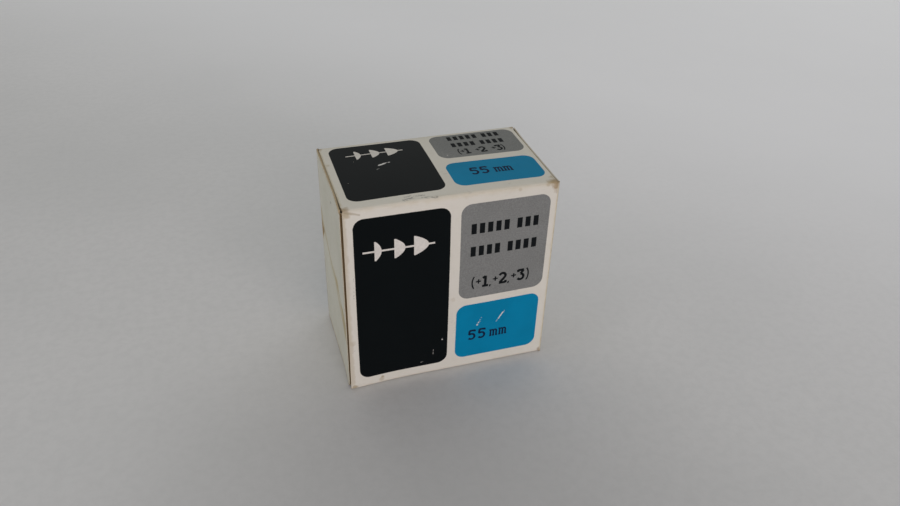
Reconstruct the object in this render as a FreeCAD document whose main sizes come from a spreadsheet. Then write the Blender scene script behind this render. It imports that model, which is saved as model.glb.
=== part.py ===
import FreeCAD, Part
import os
import Sketcher

# Folding carton with tuck-in ends and the close-up lens set packed in it.
# Millimetres.  X runs along the carton's tube, left to right; Y runs from the
# front panel to the back panel; Z is up.  The origin is the centre of the base.

SIZES = [
    # folding carton
    ("carton_width", 70.0),
    ("carton_depth", 42.0),
    ("carton_height", 70.4),
    ("board", 0.45),
    ("fold_radius", 0.6),
    ("crease_gap", 0.05),
    ("flap_gap", 0.10),
    ("glue_thickness", 0.05),
    ("glue_flap_width", 9.5),
    ("glue_margin", 1.0),
    ("seam_setback", 0.10),
    # closures, tuck flaps and dust flaps
    ("closure_edge_gap", 0.25),
    ("tuck_slip", 0.25),
    ("tuck_length", 10.0),
    ("tuck_angle", 10.0),
    ("tuck_end_inset", 1.2),
    ("tuck_corner", 4.0),
    ("dust_length", 20.0),
    ("dust_hinge_inset", 1.0),
    ("dust_tip_inset", 13.4),
    ("dust_tuck_inset", 2.8),
    ("dust_notch", 1.6),
    # round lens case
    ("case_radius", 32.5),
    ("case_offset", 1.3),
    ("case_front", -17.5),
    ("case_length", 34.0),
    ("case_wall", 1.6),
    ("case_lid_length", 20.0),
    ("case_rim_gap", 0.30),
    ("case_lid_bore", 31.0),
    ("case_collar_radius", 30.92),
    ("case_bore", 29.1),
    ("case_collar_front", 8.0),
    ("case_edge_round", 4.0),
    ("case_rest_gap", 0.05),
    ("pad_gap", 0.05),
    ("front_pad_length", 2.5),
    ("front_pad_radius", 28.4),
    ("front_pad_bore", 22.0),
    ("rear_pad_length", 3.0),
    ("rear_pad_radius", 29.0),
    # lens mounts, 55 mm filter thread
    ("stack_front", 4.3),
    ("lens_pitch", 7.4),
    ("mount_radius", 29.0),
    ("mount_length", 7.3),
    ("mount_edge", 0.4),
    ("socket_radius", 27.45),
    ("socket_depth", 3.2),
    ("spigot_radius", 27.38),
    ("spigot_length", 2.8),
    ("thread_pitch", 0.75),
    ("thread_depth", 0.35),
    ("seat_radius", 26.9),
    ("seat_depth", 8.0),
    ("clear_radius", 25.2),
    ("glass_radius", 26.6),
    ("glass_edge", 2.4),
    ("glass_gap", 0.05),
    ("index_excess", 0.523),
    ("retainer_radius", 26.82),
    ("retainer_length", 1.2),
    ("retainer_slot_width", 1.6),
    ("retainer_slot_depth", 0.5),
    # folded instruction leaflet
    ("leaflet_width", 55.0),
    ("leaflet_height", 63.0),
    ("leaflet_thickness", 0.9),
    ("leaflet_left", -32.5),
    ("leaflet_front", 18.6),
]

THREAD_RIDGES = 3
DIOPTRES = (1, 2, 3)

HALF_WIDTH = "dim.carton_width / 2"
HALF_DEPTH = "dim.carton_depth / 2"
TOP = "dim.carton_height"
INNER_HALF_DEPTH = "(dim.carton_depth / 2 - dim.board)"
DUST_PLANE = "(dim.board + dim.flap_gap)"
PANEL_END = "(dim.carton_width / 2 - 2 * dim.board - dim.flap_gap - dim.crease_gap)"
CASE_CENTRE_HEIGHT = "2 * dim.board + dim.glue_thickness + dim.case_rest_gap + dim.case_radius"


def make_sheet(doc):
    sheet = doc.addObject("Spreadsheet::Sheet", "dim")
    for row, (alias, size) in enumerate(SIZES, start=1):
        sheet.set("A%d" % row, alias)
        sheet.set("B%d" % row, str(size))
        sheet.setAlias("B%d" % row, alias)
    doc.recompute()
    return sheet


def new_body(doc, name):
    body = doc.addObject("PartDesign::Body", name)
    body.Label = name
    return body


def place(part, sheet, position, axis=(0, 0, 1), angle="0"):
    """Put a sub-part at a position given by expressions, turned about an axis."""
    turn = FreeCAD.Rotation(FreeCAD.Vector(*axis), float(sheet.evalExpression(angle)))
    part.Placement = FreeCAD.Placement(FreeCAD.Vector(0, 0, 0), turn)
    for letter, expression in zip("xyz", position):
        part.setExpression("Placement.Base." + letter, expression)
    part.setExpression("Placement.Rotation.Angle", angle)


def outline(body, sheet, name, plane_role, points):
    """Closed sketch of straight lines; every corner is tied to the sheet."""
    sketch = body.newObject("Sketcher::SketchObject", name)
    plane = [item for item in body.Origin.OriginFeatures if item.Role == plane_role][0]
    sketch.AttachmentSupport = [(plane, "")]
    sketch.MapMode = "FlatFace"
    places = []
    for across, along in points:
        places.append((float(sheet.evalExpression(across)), float(sheet.evalExpression(along))))
    count = len(points)
    for index in range(count):
        start = FreeCAD.Vector(places[index][0], places[index][1], 0)
        end_place = places[(index + 1) % count]
        end = FreeCAD.Vector(end_place[0], end_place[1], 0)
        sketch.addGeometry(Part.LineSegment(start, end))
    for index in range(count):
        sketch.addConstraint(Sketcher.Constraint("Coincident", index, 2, (index + 1) % count, 1))
    for index in range(count):
        for kind, axis in (("DistanceX", 0), ("DistanceY", 1)):
            value = places[index][axis]
            number = sketch.addConstraint(Sketcher.Constraint(kind, -1, 1, index, 1, value))
            sketch.setExpression("Constraints[%d]" % number, points[index][axis])
    return sketch


def pad(body, name, sketch, length, midplane=False, back=False):
    feature = body.newObject("PartDesign::Pad", name)
    feature.Profile = sketch
    feature.Midplane = midplane
    feature.Reversed = back
    feature.setExpression("Length", length)
    return feature


def revolve(body, name, sketch):
    """Full turn about the sketch's vertical axis, which is the Y axis."""
    feature = body.newObject("PartDesign::Revolution", name)
    feature.Profile = sketch
    feature.ReferenceAxis = (sketch, ["V_Axis"])
    feature.Angle = 360.0
    return feature


def round_edges(doc, body, name, radius, is_chosen):
    doc.recompute()
    base = body.Tip
    chosen = []
    for number, edge in enumerate(base.Shape.Edges, start=1):
        if is_chosen(edge):
            chosen.append("Edge%d" % number)
    if not chosen:
        raise RuntimeError(name + " finds no edge to round")
    feature = body.newObject("PartDesign::Fillet", name)
    feature.Base = (base, chosen)
    feature.setExpression("Radius", radius)
    return feature


# ---------------------------------------------------------------- carton

def make_carton_tube(doc, sheet):
    """Four panels in one strip of board, closed by a glue flap on the bottom."""
    body = new_body(doc, "carton_tube")
    glue_low = "dim.board + dim.glue_thickness"
    glue_high = "2 * dim.board + dim.glue_thickness"
    glue_end = HALF_DEPTH + " - dim.glue_flap_width"
    strip = [
        (HALF_DEPTH + " - dim.seam_setback", "0"),
        ("-" + HALF_DEPTH, "0"),
        ("-" + HALF_DEPTH, TOP),
        (HALF_DEPTH, TOP),
        (HALF_DEPTH, glue_low),
        (glue_end, glue_low),
        (glue_end, glue_high),
        (INNER_HALF_DEPTH, glue_high),
        (INNER_HALF_DEPTH, TOP + " - dim.board"),
        ("-" + INNER_HALF_DEPTH, TOP + " - dim.board"),
        ("-" + INNER_HALF_DEPTH, "dim.board"),
        (HALF_DEPTH + " - dim.seam_setback", "dim.board"),
    ]
    pad(body, "tube_strip", outline(body, sheet, "tube_profile", "YZ_Plane", strip),
        "dim.carton_width", midplane=True)

    half_depth = sheet.get("carton_depth") / 2
    height = sheet.get("carton_height")

    def is_outer_fold(edge):
        ends = [vertex.Point for vertex in edge.Vertexes]
        along_x = len(ends) == 2 and abs(ends[0].x - ends[1].x) > 1.0
        at_side = all(abs(abs(end.y) - half_depth) < 1e-6 for end in ends)
        at_fold = all(abs(end.z) < 1e-6 or abs(end.z - height) < 1e-6 for end in ends)
        return along_x and at_side and at_fold

    round_edges(doc, body, "tube_folds", "dim.fold_radius", is_outer_fold)
    for name, sign, other in (("left", "-", ""), ("right", "", "-")):
        beyond = sign + "(dim.carton_width / 2 + 1)"
        crease = sign + "(dim.carton_width / 2 - dim.board - dim.crease_gap)"
        trimmed = sign + PANEL_END
        past_side = other + "(dim.carton_depth / 2 + 1)"
        corners = [
            (beyond, sign + INNER_HALF_DEPTH),
            (trimmed, sign + INNER_HALF_DEPTH),
            (trimmed, other + INNER_HALF_DEPTH),
            (crease, other + INNER_HALF_DEPTH),
            (crease, past_side),
            (beyond, past_side),
        ]
        cut = body.newObject("PartDesign::Pocket", "tube_end_" + name)
        cut.Profile = outline(body, sheet, "tube_end_outline_" + name, "XY_Plane", corners)
        cut.Type = "ThroughAll"
        cut.Midplane = True
    return body


def make_glue_seam(doc, sheet):
    """Thin layer of glue between the glue flap and the bottom panel."""
    body = new_body(doc, "glue_seam")
    low = HALF_DEPTH + " - dim.glue_flap_width + dim.glue_margin"
    high = HALF_DEPTH + " - dim.glue_margin"
    end = "(" + PANEL_END + " - dim.glue_margin)"
    corners = [("-" + end, low), (end, low), (end, high), ("-" + end, high)]
    pad(body, "glue_layer", outline(body, sheet, "glue_outline", "XY_Plane", corners),
        "dim.glue_thickness")
    place(body, sheet, ("0", "0", "dim.board"))
    return body


def end_position(sheet, side, inset, depth, height):
    """Expressions for a point on one end; the right end is the left one turned half round."""
    if side == "left":
        return ("-(dim.carton_width / 2) + " + inset, depth, height)
    return ("dim.carton_width / 2 - " + inset, "-(" + depth + ")", height)


def end_turn(side):
    return "0" if side == "left" else "180"


def make_closure(doc, sheet, side):
    """End panel, creased to one broad panel and tucked behind the other."""
    body = new_body(doc, side + "_closure")
    fold = "-" + INNER_HALF_DEPTH + " + dim.tuck_slip"
    low = "dim.closure_edge_gap"
    high = TOP + " - dim.closure_edge_gap"
    corners = [(fold, low), (HALF_DEPTH, low), (HALF_DEPTH, high), (fold, high)]
    pad(body, side + "_closure_board",
        outline(body, sheet, side + "_closure_outline", "YZ_Plane", corners), "dim.board")
    place(body, sheet, end_position(sheet, side, "0", "0", "0"), angle=end_turn(side))
    return body


def make_tuck_flap(doc, sheet, side):
    """Flap on the closure's free edge, slipped in behind the broad panel."""
    body = new_body(doc, side + "_tuck_flap")
    start = "dim.board + dim.flap_gap + dim.crease_gap"
    low = "dim.tuck_end_inset"
    high = TOP + " - dim.tuck_end_inset"
    corners = [
        (start, low),
        ("dim.tuck_length - dim.tuck_corner", low),
        ("dim.tuck_length - dim.tuck_corner / 3", low + " + dim.tuck_corner / 3"),
        ("dim.tuck_length", low + " + dim.tuck_corner"),
        ("dim.tuck_length", high + " - dim.tuck_corner"),
        ("dim.tuck_length - dim.tuck_corner / 3", high + " - dim.tuck_corner / 3"),
        ("dim.tuck_length - dim.tuck_corner", high),
        (start, high),
    ]
    pad(body, side + "_tuck_board",
        outline(body, sheet, side + "_tuck_outline", "XZ_Plane", corners), "dim.board", back=True)
    depth = "-" + INNER_HALF_DEPTH + " + dim.tuck_slip"
    turn = "dim.tuck_angle" if side == "left" else "dim.tuck_angle + 180"
    place(body, sheet, end_position(sheet, side, "0", depth, "0"), angle=turn)
    return body


def make_dust_flap(doc, sheet, side, level):
    """Short flap folded in from the top or bottom panel, behind the closure."""
    name = side + "_dust_flap_" + level
    body = new_body(doc, name)
    sign = "-" if level == "top" else ""
    hinge_side = HALF_DEPTH + " - dim.dust_hinge_inset"
    tip_side = HALF_DEPTH + " - dim.dust_tip_inset"
    tuck_side = "-" + HALF_DEPTH + " + dim.dust_tuck_inset"
    corners = [
        (hinge_side, "0"),
        (tip_side, sign + "dim.dust_length"),
        (tuck_side + " + 2 * dim.dust_notch", sign + "dim.dust_length"),
        (tuck_side + " + dim.dust_notch", sign + "dim.dust_length / 2"),
        (tuck_side, sign + "dim.dust_length / 2"),
        (tuck_side, "0"),
    ]
    pad(body, name + "_board", outline(body, sheet, name + "_outline", "YZ_Plane", corners),
        "dim.board")
    height = TOP if level == "top" else "0"
    place(body, sheet, end_position(sheet, side, DUST_PLANE, "0", height), angle=end_turn(side))
    return body


def make_leaflet(doc, sheet):
    """Instruction sheet folded flat and stood against the back panel."""
    body = new_body(doc, "instruction_leaflet")
    corners = [("0", "0"), ("dim.leaflet_width", "0"),
               ("dim.leaflet_width", "dim.leaflet_height"), ("0", "dim.leaflet_height")]
    pad(body, "leaflet_fold", outline(body, sheet, "leaflet_outline", "XZ_Plane", corners),
        "dim.leaflet_thickness", back=True)
    rest = "2 * dim.board + dim.glue_thickness + dim.case_rest_gap"
    place(body, sheet, ("dim.leaflet_left", "dim.leaflet_front", rest))
    return body


# ---------------------------------------------------------------- lens case

def on_axis(start):
    """Position on the lens axis, measured back from the front of the case."""
    return ("dim.case_offset", "dim.case_front + " + start, CASE_CENTRE_HEIGHT)


def turned_body(doc, sheet, name, profile, start):
    body = new_body(doc, name)
    revolve(body, name + "_turned", outline(body, sheet, name + "_profile", "XY_Plane", profile))
    place(body, sheet, on_axis(start))
    return body


def ring_edge_at(radius, along):
    def is_chosen(edge):
        curve = edge.Curve
        if not isinstance(curve, Part.Circle):
            return False
        return abs(curve.Radius - radius) < 1e-6 and abs(curve.Center.y - along) < 1e-6
    return is_chosen


def make_case_lid(doc, sheet):
    """Clear cup that turns on the collar of the case base."""
    chamfer = "dim.case_wall"
    profile = [
        ("0", "0"),
        ("dim.case_radius", "0"),
        ("dim.case_radius", "dim.case_lid_length"),
        ("dim.case_lid_bore", "dim.case_lid_length"),
        ("dim.case_lid_bore", "dim.case_wall + " + chamfer),
        ("dim.case_lid_bore - " + chamfer, "dim.case_wall"),
        ("0", "dim.case_wall"),
    ]
    body = turned_body(doc, sheet, "case_lid", profile, "0")
    round_edges(doc, body, "case_lid_round", "dim.case_edge_round",
                ring_edge_at(sheet.get("case_radius"), 0.0))
    return body


def make_case_base(doc, sheet):
    """Dark cup with a thin collar over which the lid slips."""
    shoulder = "dim.case_lid_length + dim.case_rim_gap"
    floor = "dim.case_length - dim.case_wall"
    profile = [
        ("0", floor),
        ("dim.case_bore", floor),
        ("dim.case_bore", "dim.case_collar_front"),
        ("dim.case_collar_radius", "dim.case_collar_front"),
        ("dim.case_collar_radius", shoulder),
        ("dim.case_radius", shoulder),
        ("dim.case_radius", "dim.case_length"),
        ("0", "dim.case_length"),
    ]
    body = turned_body(doc, sheet, "case_base", profile, "0")
    round_edges(doc, body, "case_base_round", "dim.case_edge_round",
                ring_edge_at(sheet.get("case_radius"), sheet.get("case_length")))
    return body


def make_case_pads(doc, sheet):
    """Foam ring inside the lid and foam disc on the floor of the case base."""
    front = [
        ("dim.front_pad_bore", "0"),
        ("dim.front_pad_radius", "0"),
        ("dim.front_pad_radius", "dim.front_pad_length"),
        ("dim.front_pad_bore", "dim.front_pad_length"),
    ]
    rear = [
        ("0", "0"),
        ("dim.rear_pad_radius", "0"),
        ("dim.rear_pad_radius", "dim.rear_pad_length"),
        ("0", "dim.rear_pad_length"),
    ]
    rear_start = "dim.case_length - dim.case_wall - dim.pad_gap - dim.rear_pad_length"
    return [
        turned_body(doc, sheet, "case_pad_front", front, "dim.case_wall + dim.pad_gap"),
        turned_body(doc, sheet, "case_pad_rear", rear, rear_start),
    ]


# ---------------------------------------------------------------- lenses

def ridge_points(crest, root, start, step):
    """Crest and root points of the thread ridges, in order along the axis."""
    points = []
    for ridge in range(THREAD_RIDGES):
        crest_at = "%s %s %d * dim.thread_pitch" % (start, step, ridge)
        root_at = "%s %s %g * dim.thread_pitch" % (start, step, ridge + 0.5)
        points.append((crest, crest_at))
        points.append((root, root_at))
    return points


def make_mount(doc, sheet, name, start):
    """Threaded ring: socket in front, spigot behind, seat for the glass between."""
    back = "dim.mount_length"
    spigot_end = "dim.mount_length + dim.spigot_length"
    profile = [
        ("dim.socket_radius + dim.mount_edge", "0"),
        ("dim.mount_radius - dim.mount_edge", "0"),
        ("dim.mount_radius", "dim.mount_edge"),
        ("dim.mount_radius", back + " - dim.mount_edge"),
        ("dim.mount_radius - dim.mount_edge", back),
        ("dim.spigot_radius - dim.thread_depth", back),
    ]
    profile += ridge_points("dim.spigot_radius", "dim.spigot_radius - dim.thread_depth",
                            back + " + dim.thread_pitch / 2", "+")
    profile += [
        ("dim.spigot_radius - dim.thread_depth", spigot_end),
        ("dim.clear_radius", spigot_end),
        ("dim.clear_radius", "dim.seat_depth"),
        ("dim.seat_radius", "dim.seat_depth"),
        ("dim.seat_radius", "dim.socket_depth"),
        ("dim.socket_radius + dim.thread_depth", "dim.socket_depth"),
    ]
    profile += ridge_points("dim.socket_radius", "dim.socket_radius + dim.thread_depth",
                            "dim.socket_depth - dim.thread_pitch / 2", "-")
    profile += [("dim.socket_radius", "dim.mount_edge")]
    return turned_body(doc, sheet, name + "_ring", profile, start)


def make_retainer(doc, sheet, name, start):
    """Thin ring that holds the glass on its seat, with two spanner slots."""
    profile = [
        ("dim.clear_radius", "0"),
        ("dim.retainer_radius", "0"),
        ("dim.retainer_radius", "dim.retainer_length"),
        ("dim.clear_radius", "dim.retainer_length"),
    ]
    where = start + " + dim.socket_depth"
    body = turned_body(doc, sheet, name + "_retainer", profile, where)
    half_slot = "dim.retainer_slot_width / 2"
    reach = "dim.mount_radius"
    corners = [("-" + reach, "-" + half_slot), (reach, "-" + half_slot),
               (reach, half_slot), ("-" + reach, half_slot)]
    slot = body.newObject("PartDesign::Pocket", name + "_slots")
    slot.Profile = outline(body, sheet, name + "_slot_outline", "XZ_Plane", corners)
    slot.setExpression("Length", "dim.retainer_slot_depth")
    return body


def make_glass(doc, sheet, name, start, dioptre):
    """Plano-convex element; its front radius follows from its power."""
    front_radius = "dim.index_excess * 1000 / %d" % dioptre
    rise = "(%s - sqrt((%s)^2 - dim.glass_radius^2))" % (front_radius, front_radius)
    turn = FreeCAD.Rotation(FreeCAD.Vector(1, 0, 0), -90)
    blank = doc.addObject("Part::Cylinder", name + "_blank")
    blank.Placement = FreeCAD.Placement(FreeCAD.Vector(0, 0, 0), turn)
    blank.setExpression("Radius", "dim.glass_radius")
    blank.setExpression("Height", "dim.glass_edge + " + rise)
    curve = doc.addObject("Part::Sphere", name + "_front")
    curve.Placement = FreeCAD.Placement(FreeCAD.Vector(0, 0, 0), turn)
    curve.setExpression("Radius", front_radius)
    curve.setExpression("Placement.Base.y", front_radius)
    glass = doc.addObject("Part::MultiCommon", name + "_glass")
    glass.Shapes = [blank, curve]
    glass.Label = name + "_glass"
    seat = start + " + dim.seat_depth - dim.glass_gap - dim.glass_edge - " + rise
    place(glass, sheet, on_axis(seat))
    return glass


def make_lens(doc, sheet, number, dioptre):
    name = "lens_plus%d" % dioptre
    start = "dim.stack_front + %d * dim.lens_pitch" % number
    return [
        make_mount(doc, sheet, name, start),
        make_glass(doc, sheet, name, start, dioptre),
        make_retainer(doc, sheet, name, start),
    ]


# ---------------------------------------------------------------- build

def make_all(doc, sheet):
    parts = [make_carton_tube(doc, sheet), make_glue_seam(doc, sheet)]
    for side in ("left", "right"):
        parts.append(make_closure(doc, sheet, side))
        parts.append(make_tuck_flap(doc, sheet, side))
        for level in ("top", "bottom"):
            parts.append(make_dust_flap(doc, sheet, side, level))
    parts.append(make_leaflet(doc, sheet))
    parts.append(make_case_base(doc, sheet))
    parts.append(make_case_lid(doc, sheet))
    parts += make_case_pads(doc, sheet)
    for number, dioptre in enumerate(DIOPTRES):
        parts += make_lens(doc, sheet, number, dioptre)
    return parts


def check_document(doc):
    for item in doc.Objects:
        if "Invalid" in item.State or "Error" in item.State:
            raise RuntimeError(item.Name + " does not recompute")


def write_parts(parts):
    os.makedirs("parts", exist_ok=True)
    for part in parts:
        shape = part.Shape
        if shape.isNull() or not shape.isValid() or len(shape.Solids) != 1:
            raise RuntimeError(part.Label + " is not one valid solid")
        shape.exportStep("parts/" + part.Label + ".step")


document = FreeCAD.newDocument("lens_set_carton")
dimensions = make_sheet(document)
all_parts = make_all(document, dimensions)
document.recompute()
check_document(document)
write_parts(all_parts)
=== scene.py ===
import math

import bmesh
import bpy
import numpy as np
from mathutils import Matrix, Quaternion, Vector, noise


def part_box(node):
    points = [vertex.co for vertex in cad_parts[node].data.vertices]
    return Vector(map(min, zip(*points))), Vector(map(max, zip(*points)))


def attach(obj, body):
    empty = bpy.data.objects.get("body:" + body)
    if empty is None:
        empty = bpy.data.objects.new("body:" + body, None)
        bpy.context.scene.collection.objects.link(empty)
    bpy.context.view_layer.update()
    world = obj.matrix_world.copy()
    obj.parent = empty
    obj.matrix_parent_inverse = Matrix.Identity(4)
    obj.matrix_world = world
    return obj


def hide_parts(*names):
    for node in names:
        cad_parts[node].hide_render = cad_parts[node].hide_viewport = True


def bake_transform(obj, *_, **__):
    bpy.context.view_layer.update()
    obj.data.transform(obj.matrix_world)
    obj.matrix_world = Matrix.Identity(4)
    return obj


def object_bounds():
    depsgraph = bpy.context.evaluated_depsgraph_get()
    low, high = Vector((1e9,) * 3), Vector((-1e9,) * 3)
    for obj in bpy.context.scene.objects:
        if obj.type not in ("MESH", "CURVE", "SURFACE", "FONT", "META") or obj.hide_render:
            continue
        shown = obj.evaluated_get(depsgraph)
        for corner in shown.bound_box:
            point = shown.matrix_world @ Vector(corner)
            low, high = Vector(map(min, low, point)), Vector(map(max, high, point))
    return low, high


# Folded paperboard carton of a close-up lens set, closed, with the lens case inside.
# Lengths in this script are millimetres until a mesh is made; Blender gets metres.

MM = 0.001

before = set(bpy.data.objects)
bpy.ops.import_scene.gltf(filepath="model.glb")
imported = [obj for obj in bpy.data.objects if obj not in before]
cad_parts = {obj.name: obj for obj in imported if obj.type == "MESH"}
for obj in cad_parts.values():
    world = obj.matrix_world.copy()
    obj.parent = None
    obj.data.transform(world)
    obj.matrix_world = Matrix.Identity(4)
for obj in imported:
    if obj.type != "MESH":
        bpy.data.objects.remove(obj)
cad_low, cad_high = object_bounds()

HALF_W = cad_high.x / MM
HALF_D = cad_high.y / MM
HEIGHT = cad_high.z / MM
BOARD = 0.45
FOLD = 0.75
PANEL_FOLD = 1.05
DUST_FOLD = 0.5
GLUE_FLAP = 9.5
DUST_FLAP = 20.0
DUST_TAPER = 12.4
DUST_SHOULDER = 9.0
DUST_SLANT = 3.2
DUST_SPAN = (-18.15, 19.6)
DUST_CUT = (-18.4, 19.7)
TUCK_FLAP = 10.0
TUCK_CORNER = 4.0
DUST_X = -HALF_W + BOARD + 0.10
CLOSURE_LOW, CLOSURE_HIGH = 0.15, HEIGHT - 0.12


# ---------------------------------------------------------------- node graphs

class Value:
    """Output of a node, used in arithmetic like a number."""

    def __init__(self, graph, socket):
        self.graph = graph
        self.socket = socket

    def __add__(self, other):
        return self.graph.math("ADD", self, other)

    def __sub__(self, other):
        return self.graph.math("SUBTRACT", self, other)

    def __rsub__(self, other):
        return self.graph.math("SUBTRACT", other, self)

    def __mul__(self, other):
        return self.graph.math("MULTIPLY", self, other)

    def __abs__(self):
        return self.graph.math("ABSOLUTE", self)


class Graph:
    """Small helper to write a material's nodes as arithmetic; its places are millimetres."""

    def __init__(self, name):
        self.material = bpy.data.materials.new(name)
        self.material.use_nodes = True
        self.tree = self.material.node_tree
        self.tree.nodes.clear()
        self.output = self.tree.nodes.new("ShaderNodeOutputMaterial")
        metres = self.node("TexCoord", {}, "Object")
        self.place = self.node("VectorMath", {0: metres, "Scale": 1.0 / MM}, operation="SCALE")
        split = self.node("SeparateXYZ", {0: self.place}).socket.node
        self.axes = [Value(self, socket) for socket in split.outputs]

    def put(self, socket, value):
        if isinstance(value, Value):
            self.tree.links.new(value.socket, socket)
        elif isinstance(value, tuple) and len(value) == 3 and socket.type == "RGBA":
            socket.default_value = value + (1.0,)
        else:
            socket.default_value = value

    def node(self, kind, inputs, output=0, **settings):
        """New node with its inputs and settings; the result is one of its outputs."""
        node = self.tree.nodes.new("ShaderNode" + kind)
        for setting, value in settings.items():
            setattr(node, setting, value)
        for label, value in inputs.items():
            self.put(node.inputs[label], value)
        return Value(self, node.outputs[output])

    def math(self, operation, first, second=0.0):
        return self.node("Math", {0: first, 1: second}, operation=operation)

    def low(self, first, second):
        return self.math("MINIMUM", first, second)

    def high(self, first, second):
        return self.math("MAXIMUM", first, second)

    def length(self, first, second):
        return self.math("SQRT", first * first + second * second)

    def step(self, value, start, end):
        """0 at start, 1 at end, smooth between; start may be above end."""
        low, high = min(start, end), max(start, end)
        at_low, at_high = (1.0, 0.0) if start > end else (0.0, 1.0)
        return self.node("MapRange", {"Value": value, "From Min": low, "From Max": high,
                                      "To Min": at_low, "To Max": at_high},
                         interpolation_type="SMOOTHSTEP")

    def mix(self, factor, first, second):
        """Colour from first to second."""
        return self.node("Mix", {0: factor, 6: first, 7: second}, 2, data_type="RGBA")

    def blend_values(self, factor, first, second):
        return self.node("Mix", {0: factor, 2: first, 3: second}, data_type="FLOAT")

    def stretch(self, scale):
        return self.node("VectorMath", {0: self.place, 1: scale}, operation="MULTIPLY")

    def cloud(self, grain, detail=3.0, roughness=0.55, stretch=None):
        """Noise from 0 to 1 whose blobs are about grain millimetres across."""
        vector = self.stretch(stretch) if stretch else self.place
        return self.node("TexNoise", {"Vector": vector, "Scale": 1.0 / grain,
                                      "Detail": detail, "Roughness": roughness})

    def cells(self, grain):
        return self.node("TexVoronoi", {"Vector": self.place, "Scale": 1.0 / grain}, "Distance")

    def rounded_box(self, across, along, centre, half, radius):
        """Signed distance in millimetres to a rounded rectangle, negative inside."""
        reach_a = abs(across - centre[0]) + (radius - half[0])
        reach_b = abs(along - centre[1]) + (radius - half[1])
        outside = self.length(self.high(reach_a, 0.0), self.high(reach_b, 0.0))
        inside = self.low(self.high(reach_a, reach_b), 0.0)
        return outside + inside - radius

    def segment(self, across, along, start, end):
        """Distance in millimetres to a straight stroke."""
        run = (end[0] - start[0], end[1] - start[1])
        length = run[0] ** 2 + run[1] ** 2
        from_a = across - start[0]
        from_b = along - start[1]
        dot = from_a * (run[0] / length) + from_b * (run[1] / length)
        share = self.low(self.high(dot, 0.0), 1.0)
        return self.length(from_a - share * run[0], from_b - share * run[1])

    def bump(self, height, strength, distance):
        return self.node("Bump", {"Strength": strength, "Distance": distance * MM,
                                  "Height": height})

    def finish(self, colour, roughness, normal=None, **others):
        inputs = {"Base Color": colour, "Roughness": roughness}
        if normal is not None:
            inputs["Normal"] = normal
        for label, value in others.items():
            inputs[label.replace("_", " ")] = value
        self.put(self.output.inputs[0], self.node("BsdfPrincipled", inputs))
        return self.material


# ---------------------------------------------------------------- board materials

WHITE_BOARD = (0.715, 0.685, 0.605)
YELLOWED = (0.58, 0.49, 0.32)
BROWNED = (0.27, 0.17, 0.085)
TAN = (0.36, 0.26, 0.14)
BLACK_INK = (0.0030, 0.0046, 0.0052)
GREY_INK = (0.188, 0.192, 0.183)
BLUE_INK = (0.0010, 0.205, 0.375)
RAW_BOARD = (0.36, 0.31, 0.24)


def box_distances(graph, x, y, z):
    """Distance to the nearest carton edge and to the nearest carton corner."""
    to_x = abs(HALF_W - abs(x))
    to_y = abs(HALF_D - abs(y))
    to_z = abs(HEIGHT / 2 - abs(z - HEIGHT / 2))
    smaller = graph.low(to_x, to_y)
    larger = graph.high(to_x, to_y)
    edge = graph.high(smaller, graph.low(larger, to_z))
    corner = graph.high(larger, to_z)
    return edge, corner


def tinted(colour, factor):
    return tuple(factor * part for part in colour)


def ink_tone(graph, wide, shape):
    """Colour of one printed block; a mottled one is grainy."""
    ink = shape["colour"]
    if not shape["mottled"]:
        return graph.mix(graph.step(wide, 0.35, 0.75) * 0.5, ink, tinted(ink, 1.22))
    grain = graph.cloud(0.45, 3.0, 0.75)
    tone = graph.mix(graph.step(grain, 0.30, 0.72), ink, tinted(ink, 1.38))
    return graph.mix(graph.step(wide, 0.3, 0.7) * 0.25, tone, tinted(ink, 0.82))


def with_inks(graph, a, b, wide, tone, roughness, inks):
    """Printed blocks with slightly ragged outlines and a few rubbed specks."""
    rough_edge = (graph.cloud(0.6, 2.0) - 0.5) * 0.16
    speckle = graph.step(graph.cells(3.1), 0.055, 0.035)
    rubbed = speckle * graph.step(graph.cloud(7.0, 2.0), 0.6, 0.7) * 0.85
    for shape in inks:
        distance = graph.rounded_box(a, b, shape["centre"], shape["half"], INK_RADIUS)
        cover = graph.step(distance + rough_edge, 0.07, -0.07)
        tone = graph.mix(cover * (1.0 - rubbed), tone, ink_tone(graph, wide, shape))
        roughness = graph.blend_values(cover, roughness, shape["roughness"])
    return tone, roughness


def with_marks(graph, a, b, mottle, tone, scratches, stains_and_shade, scuffs, scuffed):
    """Scratches down to the white board, stains and painted shade bands, and grey scuffs."""
    broken = graph.step(graph.cloud(0.75, 2.0), 0.38, 0.52)
    for start, end, width, strength in scratches:
        distance = graph.segment(a, b, start, end)
        mark = graph.step(distance, width, width * 0.35) * (broken * strength)
        tone = graph.mix(mark, tone, (0.72, 0.70, 0.66))
    # Stains, and any painted shade bands given with them.
    for start, end, radius, colour, strength in stains_and_shade:
        distance = graph.segment(a, b, start, end)
        uneven = distance + (mottle - 0.5) * (radius * 1.6)
        mark = graph.step(uneven, radius, radius * 0.25) * strength
        tone = graph.mix(mark, tone, colour)
    hair = graph.cloud(0.8, 3.0, stretch=(1.0, 2.2, 1.0))
    grain = graph.step(hair, 0.46, 0.60)
    for start, end, width in scuffs:
        distance = graph.segment(a, b, start, end)
        mark = graph.step(distance, width, width * 0.2) * (grain * scuffed)
        tone = graph.mix(mark, tone, (0.13, 0.13, 0.13))
    return tone


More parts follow.
